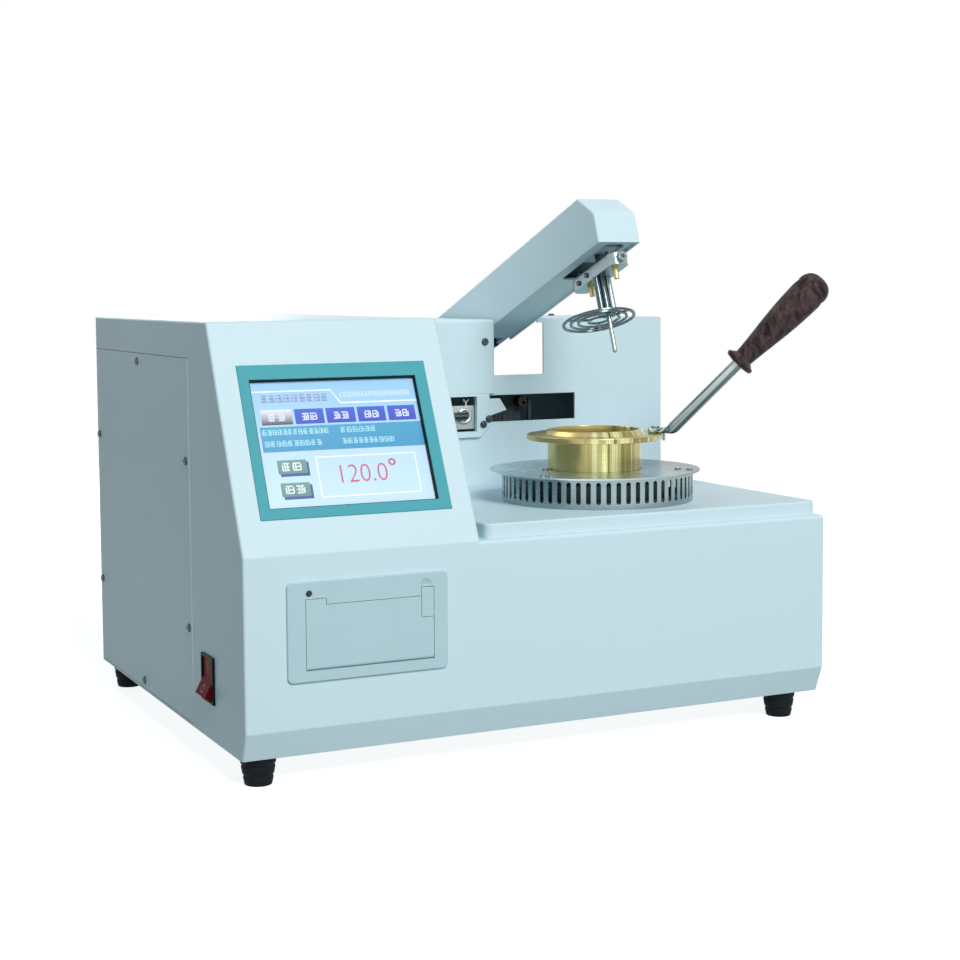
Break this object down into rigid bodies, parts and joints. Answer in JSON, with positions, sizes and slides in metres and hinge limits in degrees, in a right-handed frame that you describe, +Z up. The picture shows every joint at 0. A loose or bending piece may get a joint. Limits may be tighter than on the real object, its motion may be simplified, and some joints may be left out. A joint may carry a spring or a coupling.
{
  "type": "open-cup flash point tester",
  "caption": "Bench open-cup flash point tester: sloped display and panel printer at left, heated brass cup under a lifting motorised test arm at right.",
  "frame": {"origin": "bottom centre of the whole object, on the bench", "axes": "+X to the right seen from the front, along the longest side; +Y to the back; +Z up"},
  "size_m": [0.4588, 0.3818, 0.3754],
  "materials": {
    "case_paint": "fine textured powder coat, satin",
    "zinc_steel": "zinc plated",
    "bright_steel": "polished",
    "stainless": "brushed",
    "cast_heater": "machined, heat-stained",
    "insulation": "matt board",
    "alloy": "machined",
    "motor_grey": "satin",
    "belt_rubber": "matt",
    "foot_rubber": "matt moulded",
    "cup_brass": "turned, bright",
    "fitting_brass": "turned",
    "grip_bakelite": "mottled, semi-gloss",
    "bezel_teal": "satin",
    "black_plastic": "satin",
    "screen": "lit display behind a smooth touch film",
    "board_green": "solder mask",
    "printer_plastic": "moulded, satin",
    "print_head_metal": "machined",
    "paper": "thermal paper",
    "rocker_red": "translucent moulding"
  },
  "bodies": {
    "chassis": {"main_shell": "case_paint", "left_side_panel": "case_paint", "rear_panel": "case_paint", "worktop_tray": "case_paint", "backboard": "case_paint", "rear_housing": "case_paint", "hinge_housing": "case_paint", "mechanism_bracket": "case_paint", "base_pan": "zinc_steel", "hinge_bracket": "zinc_steel", "igniter_mount": "zinc_steel", "heater_stays": "zinc_steel", "cover_screws": "bright_steel", "top_plate_pins": "bright_steel", "vented_drum": "stainless", "heater_top_plate": "stainless", "hot_plate": "cast_heater", "insulator_disc": "insulation", "bearing_block": "alloy", "lift_motor": "motor_grey", "gas_valve": "motor_grey", "power_supply": "motor_grey", "drive_belt": "belt_rubber", "rubber_feet": "foot_rubber", "pilot_burner": "fitting_brass", "gas_inlet": "fitting_brass", "shaft_bushes": "fitting_brass", "display_bezel": "bezel_teal", "display_gasket": "black_plastic", "switch_bezel": "black_plastic", "fan_frame": "black_plastic", "power_inlet": "black_plastic", "display_panel": "screen", "display_board": "board_green", "control_board": "board_green", "printer_bezel": "printer_plastic", "print_head": "print_head_metal"},
    "arm": {"arm_shaft": "bright_steel", "arm_pulley": "alloy", "arm_cover": "case_paint", "arm_plate": "case_paint", "head_clamp_bar": "stainless", "clamp_screw": "bright_steel", "gas_nipples": "fitting_brass", "sensor_post": "bright_steel", "detector_ring": "bright_steel", "temperature_probe": "bright_steel"},
    "flame": {"flame_tube": "bright_steel"},
    "drive": {"drive_shaft": "bright_steel", "drive_pulley": "alloy"},
    "cup": {"test_cup": "cup_brass", "handle_rod": "bright_steel", "handle_grip": "grip_bakelite", "handle_rivet": "bright_steel"},
    "door": {"printer_door": "printer_plastic"},
    "platen": {"platen_roller": "belt_rubber"},
    "paper": {"paper_roll": "paper"},
    "lever": {"printer_lever": "printer_plastic"},
    "rocker": {"switch_rocker": "rocker_red"},
    "fan": {"fan_rotor": "black_plastic"}
  },
  "joints": [
    {"name": "arm_lift", "type": "hinge", "parent": "chassis", "child": "arm", "pos_m": [0.07818, 0.1258, 0.2682], "axis": [-1, 0, 0], "range_deg": [-20, 0]},
    {"name": "drive_spin", "type": "hinge", "parent": "chassis", "child": "drive", "pos_m": [0.00718, 0.0429, 0.207], "axis": [-1, 0, 0], "range_deg": [-40.5, 0.5]},
    {"name": "flame_sweep", "type": "hinge", "parent": "arm", "child": "flame", "pos_m": [0.08308, -0.11603, 0.29641], "axis": [0, 0.342, 0.9397], "range_deg": [0, 60]},
    {"name": "cup_lift", "type": "slide", "parent": "chassis", "child": "cup", "axis": [0, 0, 1], "range_m": [0, 0.05]},
    {"name": "door_open", "type": "hinge", "parent": "chassis", "child": "door", "pos_m": [-0.13882, -0.189, 0.0759], "axis": [1, 0, 0], "range_deg": [0, 80]},
    {"name": "platen_spin", "type": "hinge", "parent": "door", "child": "platen", "pos_m": [-0.13882, -0.1801, 0.1095], "axis": [1, 0, 0], "continuous": true},
    {"name": "paper_spin", "type": "hinge", "parent": "chassis", "child": "paper", "pos_m": [-0.13882, -0.1631, 0.091], "axis": [1, 0, 0], "continuous": true},
    {"name": "lever_press", "type": "slide", "parent": "chassis", "child": "lever", "axis": [0, 1, 0], "range_m": [0, 0.002], "stiffness_N_per_m": 300},
    {"name": "switch_rock", "type": "hinge", "parent": "chassis", "child": "rocker", "pos_m": [-0.22032, -0.1159, 0.0587], "axis": [0, -1, 0], "range_deg": [0, 28]},
    {"name": "fan_spin", "type": "hinge", "parent": "chassis", "child": "fan", "pos_m": [0.16218, 0.1554, 0.078], "axis": [0, 1, 0], "continuous": true}
  ],
  "couplings": [
    {"joint": "drive_spin", "follows": "arm_lift", "ratio": 2}
  ]
}
